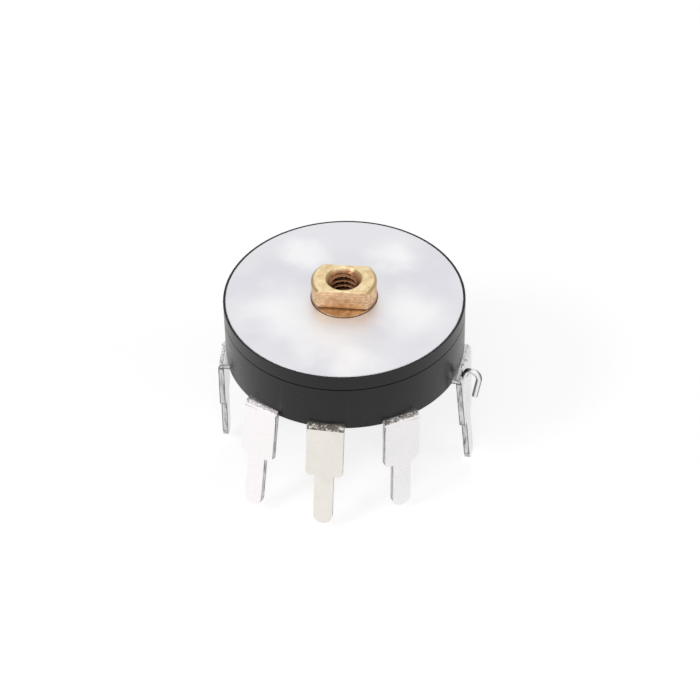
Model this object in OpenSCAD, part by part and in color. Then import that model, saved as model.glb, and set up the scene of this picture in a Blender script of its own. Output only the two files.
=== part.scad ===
// Switched rotary potentiometer of the 16 mm disc type, made for a thumbwheel.
// A moulded housing with a metal cover carries a tapped brass shaft. The shaft
// turns a rotor with a wiper over a carbon track, and at the anticlockwise end
// the rotor's cam lifts a contact blade and opens the switch.
// The origin is the centre of the housing's underside and +Z runs up the shaft.
// Azimuths count from -Y towards +X, which is anticlockwise seen from above.
// All sizes are in millimetres and degrees.

/* [Housing] */
// Radius of the housing
body_r = 8.0; // [7.9:0.05:8.6]
// Height of the upper band, down to the fine groove below it
band_h = 1.0; // [0.8:0.05:1.2]
// Height of the fine groove below the upper band
groove_h = 0.07; // [0.05:0.01:0.1]
// Depth of this groove
groove_depth = 0.1; // [0.06:0.01:0.15]
// Thickness of the lip round the cover plate
lip_t = 0.13; // [0.1:0.01:0.16]
// Width of the ledge that the cover plate sits on
ledge_w = 0.67; // [0.6:0.01:0.7]
// Thickness of the floor
floor_t = 0.9; // [0.85:0.05:1.1]
// Rounding of the housing's lower edge
foot_round = 0.15; // [0.1:0.01:0.25]
// Outer radius of the bearing boss on the floor
boss_r = 1.5; // [1.4:0.05:1.7]
// Space between the bearing boss and the rotor's underside
boss_space = 0.25; // [0.2:0.01:0.3]
// Thickness of the floor under the blind bearing
bearing_floor_t = 0.35; // [0.3:0.05:0.5]
// Angle that the rotation stop block covers
stop_angle = 43; // [40:1:46]
// Height of the rotation stop block
stop_h = 0.7; // [0.6:0.02:0.8]
// Radial length of the rotation stop block
stop_depth = 2.95; // [2.7:0.05:3]

/* [Cover plate] */
// Thickness of the cover plate
plate_t = 0.5; // [0.4:0.05:0.6]
// Height of the cover plate above the housing's lip
plate_proud = 0.05; // [0.02:0.01:0.1]
// Bevel round the cover plate's upper edge
plate_bevel = 0.05; // [0.03:0.01:0.08]

/* [Shaft] */
// Radius of the shaft's round collar
shaft_r = 2.17; // [2.1:0.01:2.22]
// Distance across the two flats of the shaft
flats_w = 2.78; // [2.66:0.02:2.86]
// Height of the shaft above the cover plate
shaft_rise = 1.54; // [1.4:0.02:2.2]
// Height of the round collar, where the flats end, above the cover plate
collar_rise = 0.06; // [0.02:0.01:0.3]
// Turn of the flats at the switched-off end
flats_turn = -6.5; // [-9:0.1:0]
// Bevel round the shaft's top
shaft_bevel = 0.18; // [0.1:0.01:0.22]
// Radius of the tapped hole at its thread crests
thread_r = 0.8; // [0.75:0.01:0.85]
// Radius of the countersink at the tapped hole's mouth
countersink_r = 1.2; // [1.1:0.02:1.25]
// Depth of the tapped hole
thread_depth = 3.2; // [2.8:0.1:3.4]
// Angle of the drilled hole's conical end
drill_angle = 118; // [110:1:130]
// Radius of the shaft's flange under the cover plate
flange_r = 2.9; // [2.7:0.05:3.1]
// Thickness of the shaft's flange
flange_t = 0.25; // [0.2:0.01:0.35]
// Radius of the shaft's lower journal
journal_r = 1.0; // [0.95:0.01:1.05]
// Height of the dished spring washer under the cover plate
washer_h = 0.27; // [0.24:0.01:0.3]
// Thickness of the spring washer's sheet
washer_t = 0.12; // [0.1:0.01:0.14]

/* [Rotor and wiper] */
// Thickness of the rotor disc
rotor_t = 1.0; // [0.9:0.02:1.2]
// Height of the rotor's hub above its disc
hub_h = 0.4; // [0.35:0.01:0.5]
// Radius of the rotor's hub
hub_r = 3.3; // [3.1:0.05:3.5]
// Annular space between the rotor and the cavity wall
ring_space = 1.8; // [1.75:0.01:1.85]
// Angle that the rotor's stop lug covers
lug_angle = 16; // [14:1:17]
// Height of the switch cam above the rotor's rim
cam_h = 0.53; // [0.48:0.01:0.56]
// Angle that the switch cam covers
cam_angle = 18; // [14:1:20]
// Azimuth of the switch cam at the switched-off end
cam_az = 150; // [146:1:154]
// Azimuth of the click notch at the switched-off end
notch_az = 22; // [20:1:24]
// Radius of the click notch
notch_r = 0.55; // [0.5:0.01:0.6]
// Free height under the rotor for the wiper
wiper_space = 0.7; // [0.65:0.01:0.8]
// Thickness of the wiper's spring sheet
wiper_t = 0.12; // [0.1:0.01:0.15]
// Width of one wiper finger
finger_w = 0.36; // [0.3:0.01:0.4]
// Space between the two track fingers
finger_gap = 0.12; // [0.1:0.01:0.16]
// Length of a wiper finger from its root to its contact
finger_l = 1.9; // [1.8:0.02:2]
// Radius of the posts that hold the wiper
post_r = 0.32; // [0.28:0.01:0.36]
// Radius of the flattened heads of these posts
post_head_r = 0.5; // [0.45:0.01:0.55]
// Thickness of these heads
post_head_t = 0.2; // [0.16:0.01:0.22]

/* [Element] */
// Thickness of the element board
board_t = 0.5; // [0.45:0.05:0.6]
// Thickness of the printed tracks
print_t = 0.04; // [0.03:0.01:0.06]
// Distance of the carbon track's middle from the rotor's rim
track_inset = 0.95; // [0.92:0.01:1.05]
// Width of the carbon track
track_w = 1.1; // [1:0.02:1.14]
// Distance between the middles of the carbon track and the collector ring
track_space = 1.45; // [1.35:0.05:1.5]
// Width of the collector ring
collector_w = 0.8; // [0.7:0.02:0.9]
// Angle that each end pad covers
pad_angle = 13; // [12:0.5:14]
// Width of an end pad beyond the carbon track on each side
pad_over = 0.05; // [0.02:0.01:0.06]

/* [Terminals] */
// Thickness of the terminal sheet
term_t = 0.38; // [0.34:0.01:0.42]
// Width of the wide part of a terminal
term_w = 2.44; // [2.2:0.02:2.5]
// Width of the solder pin of a terminal
pin_w = 1.27; // [1.1:0.01:1.4]
// Length of the wide part below the housing's underside
term_l = 3.35; // [3:0.05:3.6]
// Extra length of the wide part on the right switch terminal
term_extra = 0.45; // [0.3:0.05:0.5]
// Extra width of that terminal's bend towards the back, which tapers off below
ear_w = 1.2; // [1:0.05:1.3]
// Length of the solder pin
pin_l = 3.65; // [3.3:0.05:4]
// Bevel on the shoulders of a terminal
shoulder_bevel = 0.22; // [0.15:0.01:0.3]
// Larger bevel on the outer shoulder of the track's end terminal
shoulder_cut = 0.45; // [0.3:0.01:0.5]
// Distance of the terminals' outer faces from the housing's wall
term_reach = 0.4; // [0.38:0.01:0.5]
// Distance of the rivets from the edge of the element board
rivet_inset = 1.15; // [1.1:0.01:1.2]
// Outer radius of a rivet's tube
rivet_r = 0.5; // [0.45:0.01:0.55]
// Radius of the hole through a rivet
rivet_hole_r = 0.28; // [0.22:0.01:0.32]
// Radius of a rivet's rolled flange
rivet_flange_r = 0.74; // [0.68:0.01:0.76]
// Thickness of a rivet's rolled flange
rivet_flange_t = 0.12; // [0.1:0.01:0.16]

/* [Switch] */
// Thickness of the contact strips
strip_t = 0.15; // [0.12:0.01:0.18]
// Height of the contact strips' upper edge above the rotor's underside
strip_top = 0.86; // [0.8:0.02:1]
// Height of the contact strips' lower edge below the rotor's underside
strip_drop = 0.35; // [0.3:0.01:0.4]
// Radius of the bump that the cam pushes on the blade
bump_r = 0.5; // [0.46:0.01:0.54]
// Radius of the contact buttons
button_r = 0.38; // [0.34:0.01:0.42]
// Thickness of the contact buttons
button_t = 0.22; // [0.18:0.01:0.24]
// Gap between the contact buttons when the switch is off
contact_gap = 0.3; // [0.26:0.01:0.34]
// Azimuth of the contact buttons
contact_az = 186; // [185:1:188]
// Distance of the click spring's arm from the cavity wall
arm_space = 0.35; // [0.32:0.01:0.4]
// Radius of the click spring's wire
wire_r = 0.2; // [0.18:0.01:0.21]
// Azimuth of the click spring's tail
tail_az = 67; // [66.5:0.1:67.5]
// Thickness of the terminal above the click spring's tail
tail_roof = 0.06; // [0.04:0.01:0.07]
// Mean radius of the hook on the click spring's tail
hook_r = 0.52; // [0.48:0.01:0.6]
// Length of the hook's straight end
hook_l = 1.5; // [1.3:0.05:1.7]
// Lean of the hook's straight end towards the housing
hook_lean = 10; // [5:1:14]

/* [Fits] */
// Radial running clearance of the shaft in its bearings
run_fit = 0.04; // [0.03:0.01:0.06]
// Axial play of the moving parts
axial_play = 0.03; // [0.02:0.01:0.05]
// Clearance round pieces that lie in a recess or a hole
seat_fit = 0.03; // [0.02:0.01:0.05]
// Clearance of the element board and of the rotor's stop lug
loose_fit = 0.1; // [0.08:0.01:0.12]
// Gap between the wiper's contacts and the printed tracks
contact_fit = 0.02; // [0.01:0.01:0.03]
// Clearance between the cam or notch and the spring on it
cam_fit = 0.03; // [0.02:0.01:0.05]

/* [Hidden] */

$fn = 96;
overcut = 0.5;

// Levels, stacked up from the underside
board_z = floor_t;
print_z = board_z + board_t;
track_top = print_z + print_t;
term_z = rivet_flange_t;
rotor_z = print_z + wiper_space;
rotor_top = rotor_z + rotor_t;
hub_top = rotor_top + hub_h;
flange_top = hub_top + flange_t;
plate_z = flange_top + washer_h + axial_play;
plate_top = plate_z + plate_t;
rim_z = plate_top - plate_proud;
band_z = rim_z - band_h;
boss_top = rotor_z - boss_space;
shoulder_z = boss_top + axial_play;
shaft_top = plate_top + shaft_rise;
flats_z = plate_top + collar_rise;

// Radii, worked inwards from the housing's wall
recess_r = body_r - lip_t;
plate_r = recess_r - seat_fit / 2;
cavity_r = recess_r - ledge_w;
board_r = cavity_r - loose_fit;
rotor_r = cavity_r - ring_space;
cam_r = rotor_r + cam_h;
track_r = rotor_r - track_inset;
collector_r = track_r - track_space;
rivet_pos_r = board_r - rivet_inset;
term_r = body_r + term_reach;
tab_end_r = term_r - 2 * term_t;
strip_r = cam_r + cam_fit + bump_r;
hub_bore_r = shaft_r + seat_fit;

// Places of the terminals: azimuth, turn of the leg, outward splay, sideways lean,
// extra width of the bend
LEFT = [-84.8, -10.7, 1, -1.8, 0];
START = [-42, 8, 15, 2.4, 0];
MIDDLE = [-9.6, 0, 12.5, -0.7, 0];
END = [25.5, -2, 2.8, -1.9, 0];
RIGHT = [70, 7, 4.5, 0.6, ear_w];
TERMINALS = [LEFT, START, MIDDLE, END, RIGHT];

// Rotation: the lug rests on the stop block's clockwise side
stop_az = MIDDLE[0];
stop_play = 0.4;
stop_gap_angle = (stop_angle + lug_angle) / 2 + stop_play;
rest_az = stop_az - stop_gap_angle;

// Levels of the click spring: its arm at the rotor's rim, and its tail in a slot
slot_half = wire_r + seat_fit;
wire_z = rotor_top - slot_half;
tail_z = term_z + term_t - tail_roof - slot_half;
hook_z = term_z + wire_r;
arm_r = cavity_r - wire_r - arm_space;
tail_post_r = cavity_r - slot_half;

// ---- Shared shapes ----

// Places children at an azimuth, with -Y of the children pointing outwards
module at_azimuth(az) {
    rotate([0, 0, az]) children();
}

// Flat ring sector centred on an azimuth
module sector(r_in, r_out, angle, az, z, h) {
    translate([0, 0, z])
        rotate_extrude(angle = angle, start = az - 90 - angle / 2)
            translate([r_in, 0]) square([r_out - r_in, h]);
}

// Ring between two radii
module ring(r_in, r_out, z, h) {
    translate([0, 0, z])
        difference() {
            cylinder(r = r_out, h = h);
            translate([0, 0, -overcut]) cylinder(r = r_in, h = h + 2 * overcut);
        }
}

// Round bar with two parallel flats
module double_d(r, w, z, h) {
    translate([0, 0, z])
        intersection() {
            cylinder(r = r, h = h);
            translate([-r, -w / 2, 0]) cube([2 * r, w, h]);
        }
}

// ---- Terminals ----

// Outline of a terminal's tab, from the rivet out to the bend's root
module tab_outline(grow) {
    half_w = term_w / 2 + grow;
    translate([0, -rivet_pos_r]) circle(r = half_w);
    translate([-half_w, -tab_end_r]) square([2 * half_w, tab_end_r - rivet_pos_r]);
}

// Outline of a hanging leg, with its bend line at y = 0 and its pin below
module leg_outline(wide_l, cut, ear) {
    half_w = term_w / 2;
    half_pin = pin_w / 2;
    straight = wide_l + pin_l - half_pin;
    polygon([
        [-half_w, 0], [half_w + ear, 0],
        [half_w, cut - wide_l], [half_w - cut, -wide_l],
        [half_pin, -wide_l], [half_pin, -straight],
        [-half_pin, -straight], [-half_pin, -wide_l],
        [shoulder_bevel - half_w, -wide_l], [-half_w, shoulder_bevel - wide_l]
    ]);
    translate([0, -straight]) circle(r = half_pin);
}

// Places children at a terminal's bend: origin on the bend line's inner corner
module at_bend(place) {
    at_azimuth(place[0])
        translate([0, -term_r, term_z])
            rotate([0, 0, place[1]])
                translate([0, term_t, 0]) children();
}

// Flat stretch of sheet between a terminal's tab and its bend
module bend_root(place) {
    translate([-term_w / 2, 0, 0]) cube([term_w + place[4], 2 * term_t, term_t]);
}

// Groove in the housing for this stretch and for the bend
module bend_groove(place) {
    translate([-term_w / 2 - seat_fit, -term_t, -overcut])
        cube([term_w + place[4] + 2 * seat_fit, 3 * term_t + seat_fit, term_t + overcut]);
}

// Leg with its quarter-round bend
module leg(place, wide_l, cut) {
    splay = place[2];
    lean = place[3];
    ear = place[4];
    at_bend(place) {
        bend_root(place);
        rotate([90, 0, 90])
            translate([0, 0, -term_w / 2])
                rotate_extrude(angle = 90 - splay, start = 90)
                    square([term_t, term_w + ear]);
        rotate([-splay, 0, 0])
            rotate([0, -lean, 0])
                rotate([90, 0, 0])
                    linear_extrude(term_t) leg_outline(wide_l + term_z, cut, ear);
    }
}

module terminal(place, wide_l, cut) {
    color("gainsboro")
        difference() {
            union() {
                at_azimuth(place[0])
                    translate([0, 0, term_z])
                        linear_extrude(term_t) tab_outline(0);
                leg(place, wide_l, cut);
            }
            at_azimuth(place[0])
                translate([0, -rivet_pos_r, 0])
                    cylinder(r = rivet_r + seat_fit, h = term_z + term_t + overcut);
        }
}

module switch_terminal_left() {
    terminal(LEFT, term_l, shoulder_bevel);
}

module track_terminal_start() {
    terminal(START, term_l, shoulder_bevel);
}

module wiper_terminal() {
    terminal(MIDDLE, term_l, shoulder_bevel);
}

module track_terminal_end() {
    terminal(END, term_l, shoulder_cut);
}

// Hole round the click spring where it comes down to its tail
module tail_post_hole() {
    at_azimuth(tail_az)
        translate([-slot_half, -tail_post_r - slot_half, 0])
            cube([2 * slot_half, 2 * slot_half, floor_t + overcut]);
}

// Slot round the click spring's tail, from a level up to the tail's roof
module tail_slot(z) {
    at_azimuth(tail_az)
        translate([-slot_half, -term_r - overcut, z])
            cube([2 * slot_half, term_r + overcut - tail_post_r + slot_half, tail_z + slot_half - z]);
}

// The right switch terminal is slotted where the click spring's tail leaves
module switch_terminal_right() {
    color("gainsboro")
        difference() {
            terminal(RIGHT, term_l + term_extra, shoulder_bevel);
            tail_post_hole();
            tail_slot(tail_z - slot_half);
        }
}

// Hollow rivet that clamps a terminal, the floor, the board and what lies on it
module rivet(az, top_z) {
    at_azimuth(az)
        translate([0, -rivet_pos_r, 0])
            difference() {
                union() {
                    cylinder(r = rivet_flange_r, h = rivet_flange_t);
                    cylinder(r = rivet_r, h = top_z + rivet_flange_t);
                    translate([0, 0, top_z]) cylinder(r = rivet_flange_r, h = rivet_flange_t);
                }
                translate([0, 0, -overcut]) cylinder(r = rivet_hole_r, h = top_z + 2 * overcut);
            }
}

module terminal_rivets() {
    color("silver") {
        rivet(LEFT[0], print_z + strip_t);
        for (place = [START, MIDDLE, END]) rivet(place[0], track_top);
        rivet(RIGHT[0], print_z + strip_t);
    }
}

// ---- Housing and cover ----

module housing_profile() {
    polygon([
        [0, 0], [body_r - foot_round, 0], [body_r, foot_round],
        [body_r, band_z - groove_h], [body_r - groove_depth, band_z - groove_h],
        [body_r - groove_depth, band_z], [body_r, band_z], [body_r, rim_z], [recess_r, rim_z],
        [recess_r, plate_z], [cavity_r, plate_z], [cavity_r, board_z],
        [boss_r, board_z], [boss_r, boss_top], [0, boss_top]
    ]);
}

module housing() {
    color([0.12, 0.12, 0.13])
        difference() {
            union() {
                rotate_extrude() housing_profile();
                sector(cavity_r - stop_depth, cavity_r + seat_fit, stop_angle, stop_az,
                       plate_z - stop_h, stop_h);
            }
            translate([0, 0, bearing_floor_t])
                cylinder(r = journal_r + run_fit, h = boss_top);
            for (place = TERMINALS) {
                at_azimuth(place[0]) {
                    translate([0, 0, -overcut])
                        linear_extrude(term_z + term_t + overcut) tab_outline(seat_fit);
                    translate([0, -rivet_pos_r, 0])
                        cylinder(r = rivet_r + seat_fit, h = floor_t + overcut);
                }
                at_bend(place) bend_groove(place);
            }
            tail_slot(-overcut);
            tail_post_hole();
        }
}

module cover_plate() {
    color("lightsteelblue")
        rotate_extrude()
            polygon([
                [shaft_r + run_fit, plate_z], [plate_r, plate_z],
                [plate_r, plate_top - plate_bevel], [plate_r - plate_bevel, plate_top],
                [shaft_r + run_fit, plate_top]
            ]);
}

// ---- Shaft ----

// Tapped hole from its drilled cone up through its 45 degree countersink
module tapped_hole() {
    rotate_extrude()
        polygon([
            [0, -thread_r / tan(drill_angle / 2)], [thread_r, 0],
            [thread_r, thread_depth - (countersink_r - thread_r)],
            [countersink_r + overcut, thread_depth + overcut], [0, thread_depth + overcut]
        ]);
}

module shaft() {
    color("goldenrod")
        at_azimuth(flats_turn)
            difference() {
                union() {
                    translate([0, 0, bearing_floor_t + axial_play])
                        cylinder(r = journal_r, h = rotor_z);
                    double_d(shaft_r, flats_w, shoulder_z, hub_top - shoulder_z);
                    translate([0, 0, hub_top]) cylinder(r = flange_r, h = flange_t);
                    translate([0, 0, hub_top]) cylinder(r = shaft_r, h = flats_z - hub_top);
                    intersection() {
                        double_d(shaft_r, flats_w, flats_z, shaft_top - flats_z);
                        translate([0, 0, flats_z])
                            rotate_extrude()
                                polygon([
                                    [0, 0], [shaft_r, 0], [shaft_r, shaft_top - flats_z - shaft_bevel],
                                    [shaft_r - shaft_bevel, shaft_top - flats_z], [0, shaft_top - flats_z]
                                ]);
                    }
                }
                translate([0, 0, shaft_top - thread_depth]) tapped_hole();
            }
}

// Dished ring that presses the shaft's flange and gives the drag
module spring_washer() {
    r_in = shaft_r + run_fit + seat_fit;
    r_bend = flange_r - washer_h;
    r_out = cavity_r - stop_depth - loose_fit;
    color("silver")
        translate([0, 0, flange_top + axial_play])
            rotate_extrude()
                polygon([
                    [r_in, 0], [r_bend, 0], [r_out, washer_h - washer_t],
                    [r_out, washer_h], [r_bend, washer_t], [r_in, washer_t]
                ]);
}

// ---- Rotor and wiper, drawn with the wiper's contact at azimuth 0 ----

wiper_z = rotor_z - wiper_t;
base_in = shaft_r + loose_fit;
base_out = rotor_r - loose_fit;
base_az = 90;
finger_split = (finger_w + finger_gap) / 2;
finger_az = atan(finger_l / (track_r + finger_split + finger_w / 2));
POST_TURNS = [-40, 40];

module at_posts() {
    for (turn = POST_TURNS)
        at_azimuth(base_az + turn)
            translate([0, -(base_in + base_out) / 2, 0]) children();
}

module rotor() {
    lug_top = plate_z - axial_play - loose_fit;
    color("dimgray")
        union() {
            difference() {
                union() {
                    translate([0, 0, rotor_z]) cylinder(r = rotor_r, h = rotor_t);
                    translate([0, 0, rotor_top]) cylinder(r = hub_r, h = hub_h);
                    sector(rotor_r - overcut, cam_r, cam_angle, cam_az, rotor_z, rotor_t / 2);
                    sector(cavity_r - stop_depth + loose_fit, rotor_r, lug_angle, rest_az,
                           rotor_top, lug_top - rotor_top);
                }
                at_azimuth(flats_turn)
                    double_d(shaft_r + seat_fit, flats_w + 2 * seat_fit,
                             rotor_z - overcut, rotor_t + hub_h + 2 * overcut);
                at_azimuth(notch_az)
                    translate([0, -rotor_r, rotor_z + rotor_t / 2])
                        cylinder(r = notch_r, h = rotor_t);
            }
            at_azimuth(rest_az)
                at_posts()
                    translate([0, 0, wiper_z - post_head_t]) {
                        cylinder(r = post_r, h = post_head_t + wiper_t + overcut);
                        cylinder(r = post_head_r, h = post_head_t - seat_fit / 2);
                    }
        }
}

// Side view of a finger: it slopes down to its contact and turns up at the tip
module finger_profile() {
    low = track_top + contact_fit;
    root = finger_l + 3 * wiper_t;
    bend = 2 * wiper_t;
    tip = 4 * wiper_t;
    lift = wiper_t / 3;
    polygon([
        [root, wiper_z], [finger_l, wiper_z], [bend, low + lift], [0, low],
        [-bend, low + lift], [-tip, low + bend], [-tip, low + bend + wiper_t],
        [-bend, low + lift + wiper_t], [0, low + wiper_t], [bend, low + lift + wiper_t],
        [finger_l, rotor_z], [root, rotor_z]
    ]);
}

// One finger whose contact touches a track at the radius r
module finger(r) {
    translate([0, -r + finger_w / 2, 0])
        rotate([90, 0, 0])
            linear_extrude(finger_w) finger_profile();
}

module wiper() {
    color("peru")
        at_azimuth(rest_az)
            union() {
                difference() {
                    sector(base_in, base_out, 2 * (base_az - finger_az), base_az, wiper_z, wiper_t);
                    at_posts() cylinder(r = post_r + seat_fit, h = rotor_top);
                }
                for (r = [collector_r, track_r - finger_split, track_r + finger_split]) finger(r);
            }
}

// ---- Element ----

module element_board() {
    color("saddlebrown")
        difference() {
            ring(boss_r + seat_fit, board_r, board_z, board_t);
            for (place = TERMINALS)
                at_azimuth(place[0])
                    translate([0, -rivet_pos_r, 0])
                        cylinder(r = rivet_r + seat_fit, h = track_top);
            at_azimuth(tail_az)
                translate([-slot_half, -cavity_r, 0])
                    cube([2 * slot_half, cavity_r - tail_post_r + slot_half, track_top]);
        }
}

pad_in = track_r - track_w / 2 - pad_over;
pad_out = track_r + track_w / 2 + pad_over;

// Silver pad at one end of the carbon, with a tongue to its rivet
module pad(az) {
    color("lightgray")
        difference() {
            union() {
                sector(pad_in, pad_out, pad_angle, az, print_z, print_t);
                at_azimuth(az)
                    translate([0, -rivet_pos_r, print_z]) {
                        cylinder(r = rivet_flange_r, h = print_t);
                        translate([-rivet_r, 0, 0])
                            cube([2 * rivet_r, rivet_pos_r - pad_out + pad_over, print_t]);
                    }
            }
            at_azimuth(az)
                translate([0, -rivet_pos_r, 0]) cylinder(r = rivet_r + seat_fit, h = rotor_z);
        }
}

module start_pad() {
    pad(START[0]);
}

module end_pad() {
    pad(END[0]);
}

// Horseshoe of carbon that runs round the back from one pad to the other
module carbon_track() {
    from_az = END[0] + pad_angle / 2;
    to_az = 360 + START[0] - pad_angle / 2;
    color([0.16, 0.16, 0.17])
        sector(track_r - track_w / 2, track_r + track_w / 2, to_az - from_az,
               (from_az + to_az) / 2, print_z, print_t);
}

module collector_ring() {
    color("lightgray")
        difference() {
            union() {
                ring(collector_r - collector_w / 2, collector_r + collector_w / 2, print_z, print_t);
                at_azimuth(MIDDLE[0]) {
                    translate([-collector_w / 2, -rivet_pos_r, print_z])
                        cube([collector_w, rivet_pos_r - collector_r, print_t]);
                    translate([0, -rivet_pos_r, print_z]) cylinder(r = rivet_flange_r, h = print_t);
                }
            }
            at_azimuth(MIDDLE[0])
                translate([0, -rivet_pos_r, 0]) cylinder(r = rivet_r + seat_fit, h = rotor_z);
        }
}

// ---- Switch ----

strip_z = rotor_z - strip_drop;
strip_h = strip_drop + strip_top;
fixed_r = strip_r - 2 * button_t - contact_gap - strip_t;
button_z = rotor_z + rotor_t / 4;

// Angles from a strip's rivet to the near and the far edge of its upright part
rise_near = 7;
rise_far = 13;

// Angles from the contact's middle to the strips' ends and to the fixed strip's step
end_lead = 4;
step_lead = 10;

// Arc of a contact strip, standing on its edge
module strip_arc(r, az_from, az_to, z, h) {
    sector(r, r + strip_t, az_to - az_from, (az_from + az_to) / 2, z, h);
}

// Foot of a contact strip under its rivet, rising on one side of it
module strip_foot(az, side) {
    difference() {
        sector(rivet_pos_r - rivet_flange_r, strip_r + strip_t, rise_near + rise_far,
               az + side * (rise_far - rise_near) / 2, print_z, strip_t);
        at_azimuth(az)
            translate([0, -rivet_pos_r, 0]) cylinder(r = rivet_r + seat_fit, h = rotor_z);
    }
    sector(strip_r, strip_r + strip_t, rise_far - rise_near,
           az + side * (rise_far + rise_near) / 2, print_z, strip_z + strip_h - print_z);
}

// Blade on the right switch terminal, held off its mate by the rotor's cam
module switch_blade() {
    color("peru")
        union() {
            strip_foot(RIGHT[0], 1);
            strip_arc(strip_r, RIGHT[0] + rise_near, contact_az + end_lead, strip_z, strip_h);
            at_azimuth(cam_az)
                translate([0, -strip_r, rotor_z])
                    intersection() {
                        cylinder(r = bump_r, h = rotor_t / 2 - cam_fit);
                        translate([-bump_r, -strip_t, 0]) cube([2 * bump_r, bump_r + strip_t, rotor_t]);
                    }
        }
}

// Contact button, its axis radial, between two radii
module button(r_in, r_out) {
    color("silver")
        at_azimuth(contact_az)
            translate([0, -r_in, button_z])
                rotate([90, 0, 0])
                    cylinder(r = button_r, h = r_out - r_in);
}

module moving_contact() {
    button(strip_r - button_t, strip_r - seat_fit / 2);
}

// Strip on the left switch terminal, which steps in behind the blade's contact
module fixed_strip() {
    step_az = contact_az + step_lead;
    color("peru")
        union() {
            strip_foot(360 + LEFT[0], -1);
            strip_arc(strip_r, step_az, 360 + LEFT[0] - rise_near, strip_z, strip_h);
            sector(fixed_r, strip_r + strip_t, 2 * strip_t / strip_r * 180 / PI, step_az, strip_z, strip_h);
            strip_arc(fixed_r, contact_az - end_lead, step_az, strip_z, strip_h);
        }
}

module fixed_contact() {
    button(fixed_r + strip_t, fixed_r + strip_t + button_t);
}

// ---- Click spring ----

WIRE_SIDES = 14;

// Point at an azimuth, a radius and a height
function place_at(az, r, z) = [r * sin(az), -r * cos(az), z];

function unit(v) = v / norm(v);

// Rounded corner at b between a and c, cut back by a length along both sides
function corner(a, b, c, cut) =
    let (p = b + cut * unit(a - b), q = b + cut * unit(c - b))
        [for (t = [0:0.25:1]) (1 - t) * (1 - t) * p + 2 * t * (1 - t) * b + t * t * q];

// Line through corner points, each inner one rounded
function rounded(points, cut) = concat(
    [points[0]],
    [for (i = [1:len(points) - 2]) each corner(points[i - 1], points[i], points[i + 1], cut)],
    [points[len(points) - 1]]
);

// Round wire swept along a line of points, its section carried without twist
module swept_wire(line, r, sides) {
    last = len(line) - 1;
    ways = [for (i = [0:last]) unit(line[min(i + 1, last)] - line[max(i - 1, 0)])];
    first = unit(cross(ways[0], [0, 0, 1]));
    sides_dir = [
        for (i = 0, n = first; i <= last;
             i = i + 1, n = i > last ? n : unit(n - (n * ways[i]) * ways[i])) n
    ];
    points = [
        for (i = [0:last], k = [0:sides - 1])
            line[i] + r * (cos(360 * k / sides) * sides_dir[i]
                           + sin(360 * k / sides) * cross(ways[i], sides_dir[i]))
    ];
    walls = [
        for (i = [0:last - 1], k = [0:sides - 1])
            let (a = i * sides + k, b = i * sides + (k + 1) % sides)
                each [[a, a + sides, b], [b, a + sides, b + sides]]
    ];
    caps = [[for (k = [0:sides - 1]) k], [for (k = [sides - 1:-1:0]) last * sides + k]];
    polyhedron(points = points, faces = concat(walls, caps), convexity = 6);
}

// Wire that clicks into the rotor's notch; its tail passes the terminal's slot
// and is hooked over outside
module click_spring() {
    nose_r = rotor_r - notch_r + wire_r + cam_fit;
    nose_half = 8;
    end_half = 2 * nose_half;
    arm_half = 14;
    hook_from = 50;
    hook_centre_r = term_r + wire_r / 2 + hook_r;
    arm = [
        place_at(notch_az - end_half, arm_r, wire_z),
        place_at(notch_az - nose_half, arm_r, wire_z),
        place_at(notch_az, nose_r, wire_z),
        place_at(notch_az + nose_half, arm_r, wire_z),
        place_at(tail_az - arm_half, arm_r, wire_z),
        place_at(tail_az, tail_post_r, wire_z),
        place_at(tail_az, tail_post_r, tail_z),
        place_at(tail_az, hook_centre_r - hook_r, tail_z)
    ];
    hook = [
        for (turn = [hook_from:10:180 + hook_lean])
            place_at(tail_az, hook_centre_r - hook_r * cos(turn), hook_z + hook_r * sin(turn))
    ];
    tip = hook[len(hook) - 1] + hook_l * place_at(tail_az, -sin(hook_lean), -cos(hook_lean));
    color("dimgray")
        swept_wire(concat(rounded(concat(arm, [hook[0]]), wire_r), hook, [tip]), wire_r, WIRE_SIDES);
}

housing();
cover_plate();
shaft();
rotor();
wiper();
spring_washer();
element_board();
carbon_track();
collector_ring();
start_pad();
end_pad();
switch_terminal_left();
track_terminal_start();
wiper_terminal();
track_terminal_end();
switch_terminal_right();
terminal_rivets();
switch_blade();
moving_contact();
fixed_strip();
fixed_contact();
click_spring();
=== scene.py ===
"""Looks of a switched potentiometer, dressed over its CAD frame.

The object's sizes are written in millimetres and turned into metres where a mesh is made. Only
the floor, the lamps and the camera's clipping are in metres. Angles are in degrees, and azimuths
count from -Y towards +X, as in the CAD source.
"""

import math

import bmesh
import bpy
from mathutils import Matrix, Vector


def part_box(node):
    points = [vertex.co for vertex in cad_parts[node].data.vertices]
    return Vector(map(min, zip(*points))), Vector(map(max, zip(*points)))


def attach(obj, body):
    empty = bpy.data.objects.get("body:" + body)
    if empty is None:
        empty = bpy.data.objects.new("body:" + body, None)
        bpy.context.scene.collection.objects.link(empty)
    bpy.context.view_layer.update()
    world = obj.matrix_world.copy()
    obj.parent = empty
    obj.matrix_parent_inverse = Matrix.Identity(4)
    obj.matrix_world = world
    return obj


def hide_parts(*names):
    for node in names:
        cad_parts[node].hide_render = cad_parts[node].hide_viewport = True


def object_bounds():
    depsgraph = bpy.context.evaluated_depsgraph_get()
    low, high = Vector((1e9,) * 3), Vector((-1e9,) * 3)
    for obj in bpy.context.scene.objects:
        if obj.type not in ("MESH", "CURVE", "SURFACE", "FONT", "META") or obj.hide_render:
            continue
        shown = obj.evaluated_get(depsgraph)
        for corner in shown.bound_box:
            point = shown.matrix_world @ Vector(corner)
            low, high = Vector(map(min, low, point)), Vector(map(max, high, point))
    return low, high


MM = 0.001
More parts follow.
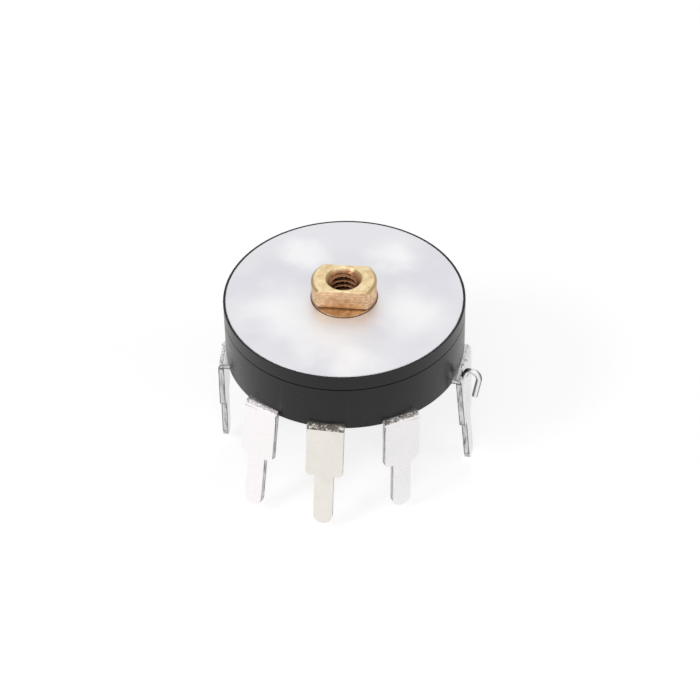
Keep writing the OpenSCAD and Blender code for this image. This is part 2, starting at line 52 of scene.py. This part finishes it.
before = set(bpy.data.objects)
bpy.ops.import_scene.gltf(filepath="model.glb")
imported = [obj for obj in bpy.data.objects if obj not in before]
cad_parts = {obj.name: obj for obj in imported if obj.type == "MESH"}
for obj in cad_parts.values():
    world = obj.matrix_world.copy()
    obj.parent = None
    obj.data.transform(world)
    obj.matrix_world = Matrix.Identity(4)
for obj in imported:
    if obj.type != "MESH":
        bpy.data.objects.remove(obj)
cad_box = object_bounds()
scene = bpy.context.scene

# ---- The camera: millimetres, degrees and the photo's pixels ----

CAMERA_DISTANCE = 160.0
CAMERA_ELEVATION = 41.76
CAMERA_ROLL = -1.15
CAMERA_SHIFT = (0.310, -0.164)
FOCAL_PIXELS = 2381.0
FRAME_PIXELS = 700.0
SENSOR = 36.0

# ---- Sizes in millimetres ----

# These repeat the CAD source's, with the countersink a little wider
PLATE_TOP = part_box("cover_plate")[1][2] / MM
SHAFT_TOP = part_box("shaft")[1][2] / MM
SHAFT_RADIUS = 2.17
FLATS_WIDTH = 2.78
FLATS_TURN = -6.5
COLLAR_Z = PLATE_TOP + 0.06
FLANGE_Z = 3.5
FLANGE_T = 0.25
FLANGE_R = 2.9
SHOULDER_Z = 1.88
JOURNAL_R = 1.0
JOURNAL_Z = 0.38
TOP_BEVEL = 0.18
SINK_RADIUS = 1.22
SINK_DEPTH = 0.4
THREAD_CREST = 0.8
THREAD_DEPTH = 3.2

# The M2 thread and the fine edges are only here
THREAD_PITCH = 0.4
THREAD_ROOT = 1.0
JOURNAL_BEVEL = 0.08
TURNED_EDGE = 0.03

# Radius at which a face that closes on the axis ends
NEAR_AXIS = 0.01

# Bevel at the shaft's end: depth below it, inset of the round sides, inset of the whole outline
TOP_EDGE = (
    (TOP_BEVEL + 0.02, 0.0, 0.0), (TOP_BEVEL - 0.01, 0.015, 0.0), (0.08, TOP_BEVEL - 0.08, 0.0),
    (0.05, TOP_BEVEL - 0.06, 0.012), (0.0, TOP_BEVEL, 0.07),
)

# Azimuth, turn, outward splay and sideways lean of each terminal, as in the CAD source
TERMINALS = {
    "switch_terminal_left": (-84.8, -10.7, 1.0, -1.8),
    "track_terminal_start": (-42.0, 8.0, 15.0, 2.4),
    "wiper_terminal": (-9.6, 0.0, 12.5, -0.7),
    "track_terminal_end": (25.5, -2.0, 2.8, -1.9),
    "switch_terminal_right": (70.0, 7.0, 4.5, 0.6),
}


def place_camera():
    elevation = math.radians(CAMERA_ELEVATION)
    back = Vector((0, -math.cos(elevation), math.sin(elevation)))
    right = Vector((1, 0, 0))
    up = Vector((0, math.sin(elevation), math.cos(elevation)))
    place = back * CAMERA_DISTANCE + right * CAMERA_SHIFT[0] + up * CAMERA_SHIFT[1]
    roll = math.radians(CAMERA_ROLL)
    rolled_right = math.cos(roll) * right + math.sin(roll) * up
    rolled_up = -math.sin(roll) * right + math.cos(roll) * up
    turn = Matrix((rolled_right, rolled_up, back)).transposed().to_4x4()
    data = bpy.data.cameras.new("camera")
    data.sensor_width = SENSOR
    data.lens = FOCAL_PIXELS / FRAME_PIXELS * SENSOR
    data.clip_start = 0.01
    data.clip_end = 10.0
    camera = bpy.data.objects.new("camera", data)
    camera.matrix_world = Matrix.Translation(place * MM) @ turn
    scene.collection.objects.link(camera)
    scene.camera = camera


# ---- Materials ----


class Look:
    """A node material round one Principled shader, with positions in millimetres."""

    def __init__(self, name, **sockets):
        self.material = bpy.data.materials.new(name)
        self.material.use_nodes = True
        self.tree = self.material.node_tree
        self.shader = self.tree.nodes["Principled BSDF"]
        for key, value in sockets.items():
            socket = key.replace("_", " ").title().replace("Ior", "IOR")
            self.shader.inputs[socket].default_value = value
        place = self.add("ShaderNodeTexCoord").outputs["Object"]
        self.place = self.math("MULTIPLY", place, (1 / MM,) * 3, vector=True)

    def add(self, kind, **settings):
        node = self.tree.nodes.new(kind)
        for key, value in settings.items():
            setattr(node, key, value)
        return node

    def feed(self, socket, value):
        if isinstance(value, bpy.types.NodeSocket):
            self.tree.links.new(value, socket)
        else:
            socket.default_value = value

    def math(self, operation, a, b=None, vector=False, clamp=False):
        kind = "ShaderNodeVectorMath" if vector else "ShaderNodeMath"
        node = self.add(kind, operation=operation)
        if clamp:
            node.use_clamp = True
        self.feed(node.inputs[0], a)
        if b is not None:
            self.feed(node.inputs[1], b)
        scalar = vector and operation in ("LENGTH", "DISTANCE")
        return node.outputs["Value" if scalar else 0]

    def stretched(self, scale, turn=0.0):
        node = self.add("ShaderNodeMapping")
        self.feed(node.inputs["Vector"], self.place)
        node.inputs["Scale"].default_value = scale
        node.inputs["Rotation"].default_value = (0, 0, math.radians(turn))
        return node.outputs[0]

    def noise(self, scale, detail=3.0, rough=0.5, place=None, distortion=0.0):
        node = self.add("ShaderNodeTexNoise")
        self.feed(node.inputs["Vector"], place or self.place)
        node.inputs["Scale"].default_value = scale
        node.inputs["Detail"].default_value = detail
        node.inputs["Roughness"].default_value = rough
        node.inputs["Distortion"].default_value = distortion
        return node.outputs["Fac"]

    def ramp(self, value, low, high, to_low=0.0, to_high=1.0):
        node = self.add("ShaderNodeMapRange", interpolation_type="SMOOTHSTEP")
        self.feed(node.inputs["Value"], value)
        ends = {"From Min": low, "From Max": high, "To Min": to_low, "To Max": to_high}
        for key, number in ends.items():
            node.inputs[key].default_value = number
        return node.outputs[0]

    def mix(self, factor, a, b):
        node = self.add("ShaderNodeMix", data_type="RGBA")
        self.feed(node.inputs["Factor"], factor)
        self.feed(node.inputs["A"], a)
        self.feed(node.inputs["B"], b)
        return node.outputs["Result"]

    def height(self):
        """Height of the shaded point above the housing's underside."""
        node = self.add("ShaderNodeSeparateXYZ")
        self.feed(node.inputs[0], self.place)
        return node.outputs["Z"]

    def axis_distance(self):
        """Distance of the shaded point from the shaft's axis."""
        return self.math("LENGTH", self.stretched((1.0, 1.0, 0.0)), vector=True)

    def facing(self, axis):
        """How far the surface faces along an axis of the piece, either way: 0 to 1."""
        node = self.add("ShaderNodeSeparateXYZ")
        self.feed(node.inputs[0], self.add("ShaderNodeTexCoord").outputs["Normal"])
        return self.math("ABSOLUTE", node.outputs[axis])

    def paint(self, value):
        self.feed(self.shader.inputs["Base Color"], value)

    def roughness(self, value):
        self.feed(self.shader.inputs["Roughness"], value)

    def bump(self, height, distance):
        node = self.add("ShaderNodeBump")
        node.inputs["Strength"].default_value = 1.0
        node.inputs["Distance"].default_value = distance * MM
        self.feed(node.inputs["Height"], height)
        before = self.shader.inputs["Normal"].links
        if before:
            self.feed(node.inputs["Normal"], before[0].from_socket)
        self.feed(self.shader.inputs["Normal"], node.outputs[0])


def rgb(red, green, blue):
    return (red, green, blue, 1.0)


def moulded(name, dark, light, rough=0.29):
    """Moulded plastic: faint flow patches, fine pitting and a few scuffs."""
    look = Look(name, ior=1.5, specular_ior_level=0.34)
    patches = look.noise(0.35, 2.0)
    pits = look.noise(9.0, 4.0, 0.6)
    scuffs = look.ramp(look.noise(1.0, 5.0, 0.7, look.stretched((0.8, 0.8, 6.0))), 0.6, 0.75)
    look.paint(look.mix(look.ramp(patches, 0.35, 0.65), dark, light))
    look.roughness(look.math("ADD", look.ramp(pits, 0.3, 0.7, rough - 0.05, rough + 0.06),
                             look.math("MULTIPLY", scuffs, 0.1)))
    look.bump(pits, 0.004)
    return look.material


def sheet_metal(name, colour, stain, rough=0.3):
    """Rolled and plated sheet: fine drawing lines, a soft cloudy film and small nicks."""
    look = Look(name, metallic=1.0)
    clouds = look.noise(0.7, 3.0, 0.55, distortion=0.4)
    drawn = look.noise(1.6, 3.0, 0.6, look.stretched((1.0, 1.0, 18.0)))
    nicks = look.ramp(look.noise(7.0, 4.0, 0.7), 0.66, 0.74)
    tone = look.mix(look.ramp(clouds, 0.3, 0.7), colour, stain)
    dull = tuple(0.45 * part for part in colour[:3]) + (1.0,)
    look.paint(look.mix(look.math("MULTIPLY", nicks, 0.45), tone, dull))
    look.roughness(look.ramp(drawn, 0.25, 0.75, rough - 0.06, rough + 0.1))
    look.bump(drawn, 0.002)
    look.bump(nicks, -0.006)
    return look.material


def sheared_edge(name, bright, dark, torn_low, torn_high):
    """Blanked edge of a sheet: fine shear lines through it and torn specks between them."""
    look = Look(name, metallic=1.0)
    lines = look.noise(4.5, 4.0, 0.65, look.stretched((1.0, 1.0, 0.22)))
    torn = look.noise(4.0, 5.0, 0.75, look.stretched((1.0, 1.0, 0.5)), distortion=0.6)
    speck = look.ramp(torn, torn_low, torn_high)
    look.paint(look.mix(look.math("MULTIPLY", speck, look.ramp(lines, 0.25, 0.6)), dark, bright))
    look.roughness(look.ramp(torn, 0.3, 0.7, 0.55, 0.36))
    look.bump(lines, 0.02)
    look.bump(torn, 0.02)
    return look.material


def cracked_bend(name, bright, start, torn):
    """Sharp bend of a plated sheet: torn ridges from a height up, with a share of dark gaps."""
    look = Look(name, metallic=1.0)
    ridges = look.noise(3.4, 5.0, 0.75, distortion=0.8)
    level = look.math("ADD", ridges, look.ramp(look.height(), start - 0.12, start + 0.06, 0.4, 0.0))
    middle = 0.36 + 0.2 * torn
    gaps = look.ramp(level, middle - 0.09, middle + 0.09)
    look.paint(look.mix(gaps, rgb(0.17, 0.145, 0.12), bright))
    look.roughness(look.ramp(level, 0.35, 0.65, 0.5, 0.3))
    look.bump(look.ramp(level, 0.3, 0.7), 0.05)
    return look.material


# Pale clouds on the cover, painted reflections of bright light: centre and reach, and how far noise
# pulls them about
PAINTED_REFLECTION_CLOUDS = (
    ((-2.6, 4.4), 2.4), ((3.3, 4.2), 2.4), ((-4.2, -1.4), 3.8),
    ((-1.2, -4.0), 3.8), ((4.4, -1.8), 3.6), ((0.6, -6.6), 2.6),
)
CLOUD_WARP = 3.2


def cover_metal():
    """Dull plated cover: a bluish film with pale, soft clouds of painted reflection round the shaft.
    """
    look = Look("cover_metal", metallic=1.0)
    warp = look.add("ShaderNodeTexNoise")
    look.feed(warp.inputs["Vector"], look.place)
    warp.inputs["Scale"].default_value = 0.45
    warp.inputs["Detail"].default_value = 4.0
    pull = look.math("MULTIPLY", warp.outputs["Color"], (CLOUD_WARP, CLOUD_WARP, 0.0), vector=True)
    shifted = look.math("ADD", look.stretched((1.0, 1.0, 0.0)), pull, vector=True)
    painted_reflection = 0.0
    # Painted reflections: pale clouds painted at fixed places round the shaft
    for (x, y), reach in PAINTED_REFLECTION_CLOUDS:
        centre = (x + CLOUD_WARP / 2, y + CLOUD_WARP / 2, 0.0)
        away = look.math("DISTANCE", shifted, centre, vector=True)
        painted_reflection = look.math("ADD", painted_reflection, look.ramp(away, 0.0, reach, 0.9, 0.0), clamp=True)
    fine = look.noise(1.1, 4.0, 0.6)
    broad = look.noise(0.22, 2.0, 0.5)
    film = look.mix(look.ramp(broad, 0.38, 0.62), rgb(0.738, 0.731, 0.782), rgb(0.792, 0.787, 0.820))
    film = look.mix(look.ramp(fine, 0.3, 0.7, 0.0, 0.35), film, rgb(0.80, 0.80, 0.828))
    look.paint(look.mix(look.math("MULTIPLY", painted_reflection, 0.95), film, rgb(0.935, 0.928, 0.932)))
    look.roughness(look.ramp(fine, 0.3, 0.7, 0.46, 0.54))
    look.bump(look.noise(14.0, 3.0, 0.6), 0.0015)
    look.bump(broad, 0.02)
    return look.material


def turned_brass():
    """Brass bar: a faced end and redder milled sides, with painted shade at the sides' foot, on the
    bevels above the round sides and down the tapped hole.
    """
    look = Look("turned_brass", metallic=1.0)
    clouds = look.noise(2.0, 3.0, 0.6)
    hatch = look.noise(2.4, 4.0, 0.65, look.stretched((1.0, 7.0, 1.0), 12))
    mill = look.noise(1.5, 3.0, 0.6, look.stretched((0.22, 0.22, 20.0)))
    grain = look.noise(3.4, 4.0, 0.7)
    pits = look.ramp(look.noise(11.0, 3.0, 0.7), 0.62, 0.74)

    faced = look.mix(look.ramp(clouds, 0.3, 0.7), rgb(0.74, 0.54, 0.30), rgb(0.96, 0.80, 0.49))
    faced = look.mix(look.ramp(hatch, 0.45, 0.75, 0.0, 0.8), faced, rgb(0.60, 0.41, 0.21))
    patchy = look.math("ADD", look.math("MULTIPLY", mill, 0.5), look.math("MULTIPLY", grain, 0.5))
    milled = look.mix(look.ramp(patchy, 0.38, 0.62), rgb(0.54, 0.33, 0.175), rgb(0.98, 0.70, 0.44))
    ledge = look.mix(look.ramp(clouds, 0.4, 0.6), rgb(0.38, 0.22, 0.13), rgb(0.58, 0.38, 0.25))

    upright = look.facing("Z")
    height = look.height()
    side = look.ramp(upright, 0.3, 0.6, 1.0, 0.0)
    # Painted shade: the bevels above the round sides are painted dark
    painted_chamfer_shade = look.math("MULTIPLY", look.ramp(upright, 0.86, 0.97, 1.0, 0.0),
                        look.ramp(look.facing("X"), 0.3, 0.5, 0.0, 0.8))
    # Painted shade: a dark band at the foot of the milled sides, just above the collar
    off_foot = look.math("ABSOLUTE", look.math("SUBTRACT", height, COLLAR_Z + 0.05))
    painted_foot_shade = look.math("MULTIPLY", look.ramp(off_foot, 0.02, 0.1, 0.85, 0.0), side)
    collar = look.ramp(height, COLLAR_Z - 0.02, COLLAR_Z + 0.04, 1.0, 0.0)
    # Painted shade: the tapped hole is painted darker from just under its mouth down
    painted_bore_shade = look.math("MULTIPLY", look.ramp(height, SHAFT_TOP - 0.26, SHAFT_TOP - 0.02, 0.95, 0.0),
                     look.ramp(look.axis_distance(), SINK_RADIUS - 0.02, SINK_RADIUS + 0.03, 1.0, 0.0))

    tone = look.mix(side, look.mix(painted_chamfer_shade, faced, rgb(0.34, 0.24, 0.11)), milled)
    tone = look.mix(collar, tone, ledge)
    tone = look.mix(painted_foot_shade, tone, rgb(0.13, 0.06, 0.03))
    tone = look.mix(painted_bore_shade, tone, rgb(0.27, 0.115, 0.055))
    look.paint(look.mix(look.math("MULTIPLY", pits, 0.5), tone, rgb(0.40, 0.22, 0.09)))
    look.roughness(look.math("SUBTRACT", look.ramp(mill, 0.3, 0.7, 0.26, 0.42),
                             look.math("MULTIPLY", painted_bore_shade, 0.14)))
    look.bump(mill, 0.014)
    look.bump(hatch, 0.004)
    look.bump(pits, -0.01)
    return look.material


def drawn_wire():
    """Drawn steel wire, dark from its heat treatment, with a painted highlight: its front and back are
    painted bright.
    """
    look = Look("drawn_wire", metallic=1.0)
    streaks = look.noise(3.0, 4.0, 0.7, look.stretched((1.0, 1.0, 5.0)))
    # Painted highlight: the faces that don't point along X are painted bright
    painted_highlight = look.ramp(look.facing("X"), 0.25, 0.7, 1.0, 0.0)
    dark = look.mix(look.ramp(streaks, 0.35, 0.7), rgb(0.12, 0.118, 0.115), rgb(0.24, 0.236, 0.23))
    look.paint(look.mix(painted_highlight, dark, rgb(0.82, 0.815, 0.81)))
    look.roughness(look.ramp(streaks, 0.3, 0.7, 0.22, 0.4))
    look.bump(streaks, 0.006)
    return look.material


def laminate():
    """Phenolic paper board with a faint fibre pattern."""
    look = Look("laminate", ior=1.55)
    fibres = look.noise(1.2, 5.0, 0.7, look.stretched((1.0, 8.0, 1.0), 20))
    look.paint(look.mix(look.ramp(fibres, 0.3, 0.7), rgb(0.20, 0.09, 0.035), rgb(0.33, 0.16, 0.07)))
    look.roughness(look.ramp(fibres, 0.3, 0.7, 0.35, 0.5))
    look.bump(fibres, 0.004)
    return look.material


def printed(name, dark, light, metallic):
    """Printed ink: a grainy film."""
    look = Look(name, metallic=metallic)
    grains = look.noise(16.0, 4.0, 0.7)
    look.paint(look.mix(look.ramp(grains, 0.35, 0.65), dark, light))
    look.roughness(look.ramp(grains, 0.3, 0.7, 0.4, 0.6))
    look.bump(grains, 0.003)
    return look.material


# ---- Meshes ----


def add_object(name, mesh):
    piece = bpy.data.objects.new(name, mesh)
    scene.collection.objects.link(piece)
    return piece


def soften_normals(piece):
    """Keeps flat faces flat beside their rounded edges."""
    modifier = piece.modifiers.new("normals", "WEIGHTED_NORMAL")
    modifier.weight = 100
    modifier.keep_sharp = True


# Looks of a terminal, in the order of its materials
FACE, SHEARED, BEND, RIM = range(4)

# Width of a sheared face's rim, and the smallest face in square millimetres that gets one
RIM_WIDTH = 0.07
RIM_LEAST_AREA = 0.3


def dressed(node, piece_name, bevel, body, looks, sort=None, limit=32.0):
    """Copy of a CAD node, rounded where its faces meet at more than the limit's angle.

    sort(face) picks each face's material, and the larger sheared faces then get rims.
    """
    work = bmesh.new()
    work.from_mesh(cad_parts[node].data)
    bmesh.ops.remove_doubles(work, verts=work.verts, dist=2e-7)
    bmesh.ops.dissolve_limit(work, angle_limit=math.radians(0.6), verts=work.verts, edges=work.edges,
                             delimit={"NORMAL"})
    for face in work.faces:
        face.smooth = True
        face.material_index = sort(face) if sort else 0
    if sort:
        least = RIM_LEAST_AREA * MM * MM
        wide = [face for face in work.faces
                if face.material_index == SHEARED and face.calc_area() > least]
        for face in bmesh.ops.inset_individual(work, faces=wide, thickness=RIM_WIDTH * MM)["faces"]:
            face.material_index = RIM
    sharp = [edge for edge in work.edges
             if len(edge.link_faces) == 2 and edge.calc_face_angle(0) > math.radians(limit)]
    bmesh.ops.bevel(work, geom=sharp, offset=bevel * MM, segments=2, profile=0.5,
                    affect="EDGES", clamp_overlap=True)
    mesh = bpy.data.meshes.new(piece_name)
    for face in work.faces:
        face.smooth = True
    work.to_mesh(mesh)
    work.free()
    for look in looks:
        mesh.materials.append(look)
    piece = add_object(piece_name, mesh)
    soften_normals(piece)
    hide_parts(node)
    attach(piece, body)


def turned_mesh(name, rows, angles):
    """Closed surface through rows of rings; a row maps an angle to (radius, height)."""
    work = bmesh.new()
    rings = []
    for row in rows:
        ring = []
        for angle in angles:
            radius, height = row(angle)
            point = Vector((radius * math.cos(angle), radius * math.sin(angle), height))
            ring.append(work.verts.new(point * MM))
        rings.append(ring)
    count = len(angles)
    for lower, upper in zip(rings, rings[1:]):
        for i in range(count):
            j = (i + 1) % count
            work.faces.new((lower[i], lower[j], upper[j], upper[i]))
    work.faces.new(list(reversed(rings[0])))
    work.faces.new(rings[-1])
    bmesh.ops.recalc_face_normals(work, faces=work.faces)
    for face in work.faces:
        face.smooth = True
    mesh = bpy.data.meshes.new(name)
    work.to_mesh(mesh)
    work.free()
    mesh.set_sharp_from_angle(angle=math.radians(30))
    return mesh


# ---- Shaft with its thread ----


def flats_radius(angle, inset=0.0):
    """Radius of the double-D outline at an angle, its four corners slightly rounded."""
    arc = SHAFT_RADIUS - inset
    flat = FLATS_WIDTH / 2 / max(abs(math.sin(angle - math.radians(FLATS_TURN))), 1e-6)
    sharpness = 220.0
    if flat > 2 * arc:
        return arc
    return -math.log(math.exp(-sharpness * arc) + math.exp(-sharpness * flat)) / sharpness


def thread_radius(angle, height):
    """Inner radius of a right-hand thread at an angle and a height."""
    turn = height / THREAD_PITCH - angle / (2 * math.pi)
    off_crest = 2 * abs(turn - math.floor(turn) - 0.5)
    crest_flat = 0.25
    root_flat = 0.125
    climb = min(max((off_crest - crest_flat) / (1 - crest_flat - root_flat), 0.0), 1.0)
    return THREAD_CREST + (THREAD_ROOT - THREAD_CREST) * climb


def build_shaft(look):
    sides = 288
    angles = [2 * math.pi * i / sides for i in range(sides)]
    steps = 150
    flange_top = FLANGE_Z + FLANGE_T
    mouth = SHAFT_TOP - 0.02
    bottom = SHAFT_TOP - THREAD_DEPTH
    sink_z = SHAFT_TOP - SINK_DEPTH
    sink_slope = (SINK_RADIUS - THREAD_CREST) / SINK_DEPTH

    def plain(radius, height):
        return lambda angle: (radius, height)

    def outline(height, inset=0.0, shrink=0.0):
        return lambda angle: (flats_radius(angle, inset) - shrink, height)

    def threaded(height):
        widest = THREAD_CREST + max(height - sink_z, 0.0) * sink_slope
        return lambda angle: (max(thread_radius(angle, height), widest), height)

    rows = [
        plain(NEAR_AXIS, JOURNAL_Z), plain(JOURNAL_R - JOURNAL_BEVEL, JOURNAL_Z),
        plain(JOURNAL_R, JOURNAL_Z + JOURNAL_BEVEL), plain(JOURNAL_R, SHOULDER_Z),
        outline(SHOULDER_Z, 0.0, TURNED_EDGE), outline(SHOULDER_Z + TURNED_EDGE), outline(FLANGE_Z),
        plain(FLANGE_R - TURNED_EDGE, FLANGE_Z), plain(FLANGE_R, FLANGE_Z + TURNED_EDGE),
        plain(FLANGE_R, flange_top - TURNED_EDGE), plain(FLANGE_R - TURNED_EDGE, flange_top),
        plain(SHAFT_RADIUS, flange_top), plain(SHAFT_RADIUS, COLLAR_Z - TURNED_EDGE),
        plain(SHAFT_RADIUS - TURNED_EDGE, COLLAR_Z), outline(COLLAR_Z, TURNED_EDGE),
        outline(COLLAR_Z + 0.02, TURNED_EDGE),
    ]
    rows += [outline(SHAFT_TOP - below, inset, shrink) for below, inset, shrink in TOP_EDGE]
    rows += [plain(SINK_RADIUS + TURNED_EDGE, SHAFT_TOP), plain(SINK_RADIUS, SHAFT_TOP - 0.012)]
    rows += [threaded(mouth - (mouth - bottom) * i / steps) for i in range(steps + 1)]
    rows += [plain(THREAD_CREST, bottom - 0.01), plain(NEAR_AXIS, bottom - THREAD_CREST / 2)]
    mesh = turned_mesh("turned_shaft", rows, angles)
    mesh.materials.append(look)
    piece = add_object("turned_shaft", mesh)
    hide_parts("shaft")
    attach(piece, "shaft")


# ---- Terminals ----


def terminal_frame(name):
    """Directions of a terminal: along its bend, and out of its hanging leg."""
    azimuth, turn, splay, lean = (math.radians(value) for value in TERMINALS[name])
    bend = Matrix.Rotation(azimuth + turn, 3, "Z")
    hang = bend @ Matrix.Rotation(-splay, 3, "X") @ Matrix.Rotation(-lean, 3, "Y")
    return bend @ Vector((1, 0, 0)), hang @ Vector((0, -1, 0))


def build_terminal(name, looks):
    """Dresses a terminal, whose faces are sorted by where they point and by their height."""
    along, out = terminal_frame(name)
    bend_z = -0.02 * MM

    def part_of_sheet(face):
        normal = face.normal
        if abs(normal.dot(along)) > 0.6:
            return SHEARED
        if face.calc_center_median().z > bend_z:
            return BEND if 0.2 < normal.z < 0.98 else FACE
        return FACE if abs(normal.dot(out)) > 0.8 else SHEARED

    dressed(name, name + "_sheet", bevel=0.035, body="housing",
            looks=looks, sort=part_of_sheet, limit=25.0)


# ---- Stage ----

# Strengths seen by the camera and in mirrors, and the strength that lights the object
FLOOR_SEEN = 0.70
WORLD_SEEN = 1.0
WORLD_LIGHT = 0.24

# Half the floor's width, and its gap under the object, in metres
FLOOR_HALF = 1.5
FLOOR_GAP = 0.0001


def see_through_rays(tree, camera_value, other_value):
    """Shader factor: camera_value where the camera, a mirror or glass looks, else other_value."""
    path = tree.nodes.new("ShaderNodeLightPath")
    seen = None
    for ray in ("Is Camera Ray", "Is Glossy Ray", "Is Transmission Ray"):
        if seen is None:
            seen = path.outputs[ray]
            continue
        node = tree.nodes.new("ShaderNodeMath")
        node.operation = "MAXIMUM"
        tree.links.new(seen, node.inputs[0])
        tree.links.new(path.outputs[ray], node.inputs[1])
        seen = node.outputs[0]
    node = tree.nodes.new("ShaderNodeMapRange")
    tree.links.new(seen, node.inputs["Value"])
    node.inputs["To Min"].default_value = other_value
    node.inputs["To Max"].default_value = camera_value
    return node.outputs[0]


def build_stage(floor_z):
    mesh = bpy.data.meshes.new("floor")
    signs = ((-1, -1), (1, -1), (1, 1), (-1, 1))
    corners = [(x * FLOOR_HALF, y * FLOOR_HALF, floor_z) for x, y in signs]
    mesh.from_pydata(corners, [], [(0, 1, 2, 3)])
    floor = add_object("floor", mesh)
    material = bpy.data.materials.new("floor")
    material.use_nodes = True
    tree = material.node_tree
    shader = tree.nodes["Principled BSDF"]
    shader.inputs["Base Color"].default_value = (0.9, 0.9, 0.9, 1)
    shader.inputs["Roughness"].default_value = 0.9
    shader.inputs["Specular IOR Level"].default_value = 0.0
    shader.inputs["Emission Color"].default_value = (1, 1, 1, 1)
    tree.links.new(see_through_rays(tree, FLOOR_SEEN, 0.0), shader.inputs["Emission Strength"])
    mesh.materials.append(material)

    world = bpy.data.worlds.new("studio")
    scene.world = world
    world.use_nodes = True
    tree = world.node_tree
    background = tree.nodes["Background"]
    background.inputs["Color"].default_value = (1, 1, 1, 1)
    tree.links.new(see_through_rays(tree, WORLD_SEEN, WORLD_LIGHT), background.inputs["Strength"])


def add_lamp(name, place, size, power):
    """Round soft lamp that points at the object."""
    data = bpy.data.lights.new(name, "AREA")
    data.shape = "DISK"
    data.size = size
    data.energy = power
    lamp = bpy.data.objects.new(name, data)
    lamp.location = place
    lamp.rotation_euler = (-Vector(place)).to_track_quat("-Z", "Y").to_euler()
    scene.collection.objects.link(lamp)


def paint_node(node, look):
    mesh_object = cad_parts[node]
    for slot in mesh_object.material_slots:
        slot.material = look


# ---- The scene ----

place_camera()
scene.view_settings.view_transform = "Standard"

black = moulded("black_moulding", rgb(0.003, 0.003, 0.0032), rgb(0.006, 0.006, 0.0063))
grey_rotor = moulded("rotor_moulding", rgb(0.05, 0.05, 0.05), rgb(0.07, 0.07, 0.068), rough=0.5)
brass = turned_brass()
bronze = sheet_metal("bronze_sheet", rgb(0.78, 0.5, 0.3), rgb(0.68, 0.42, 0.25))
washer = sheet_metal("washer_sheet", rgb(0.66, 0.66, 0.67), rgb(0.58, 0.58, 0.6))
silver = sheet_metal("contact_silver", rgb(0.86, 0.86, 0.84), rgb(0.76, 0.76, 0.74), rough=0.24)
wire = drawn_wire()
board = laminate()
carbon = printed("carbon_print", rgb(0.015, 0.015, 0.016), rgb(0.035, 0.035, 0.036), 0.0)
silver_ink = printed("silver_print", rgb(0.55, 0.54, 0.52), rgb(0.75, 0.74, 0.71), 0.9)

# Tones of a terminal's face and its stain, the share of torn specks on its edges, where its
# bend's torn band starts and how much of it is dark, and the tone of its edges' rims, a painted
# shade. The face tones hold painted light too: the start terminal, splayed furthest up, is
# painted the brightest.
SHEETS = {
    "switch_terminal_left": (rgb(0.84, 0.84, 0.84), rgb(0.74, 0.74, 0.74), 0.3, 0.1, 0.4, 0.2),
    "track_terminal_start": (rgb(0.955, 0.915, 0.93), rgb(0.94, 0.91, 0.91), 0.15, 0.36, 0.15, 0.4),
    "wiper_terminal": (rgb(0.83, 0.79, 0.74), rgb(0.79, 0.755, 0.70), 0.2, 0.16, 0.9, 0.4),
    "track_terminal_end": (rgb(0.86, 0.825, 0.835), rgb(0.82, 0.81, 0.815), 0.15, 0.3, 0.75, 0.36),
    "switch_terminal_right": (rgb(0.84, 0.84, 0.85), rgb(0.76, 0.76, 0.77), 0.3, 0.1, 0.25, 0.2),
}
for name, (bright, stain, torn, band_start, band_torn, rim_shade) in SHEETS.items():
    low = 0.1 + 0.6 * torn
    build_terminal(name, [
        sheet_metal(name + "_tin", bright, stain),
        sheared_edge(name + "_edge", rgb(0.68, 0.67, 0.66), rgb(0.20, 0.19, 0.18), low, low + 0.14),
        cracked_bend(name + "_bend", bright, band_start, band_torn),
        # Rims painted darker than the edges: painted shade along the borders of the sheared faces
        sheared_edge(name + "_rim", rgb(rim_shade, rim_shade, rim_shade), rgb(0.5 * rim_shade, 0.48 * rim_shade, 0.46 * rim_shade),
                     0.4, 0.6),
    ])

dressed("housing", "housing_shell", bevel=0.02, body="housing",
        looks=[black])
dressed("cover_plate", "cover_sheet", bevel=0.04, body="housing",
        looks=[cover_metal()])
build_shaft(brass)
dressed("terminal_rivets", "rivet_set", bevel=0.03, body="housing",
        looks=[washer])
dressed("click_spring", "click_wire", bevel=0.01, body="housing",
        looks=[wire], limit=60.0)

for node, look in (
    ("rotor", grey_rotor), ("wiper", bronze), ("spring_washer", washer), ("element_board", board),
    ("carbon_track", carbon), ("collector_ring", silver_ink), ("start_pad", silver_ink),
    ("end_pad", silver_ink), ("switch_blade", bronze), ("moving_contact", silver),
    ("fixed_strip", bronze), ("fixed_contact", silver),
):
    paint_node(node, look)

build_stage(cad_box[0][2] - FLOOR_GAP)
add_lamp("key", (-0.32, -0.20, 0.33), size=0.16, power=0.24)
add_lamp("front", (-0.03, -0.33, 0.38), size=0.20, power=0.12)
add_lamp("fill", (0.34, -0.12, 0.26), size=0.20, power=0.08)
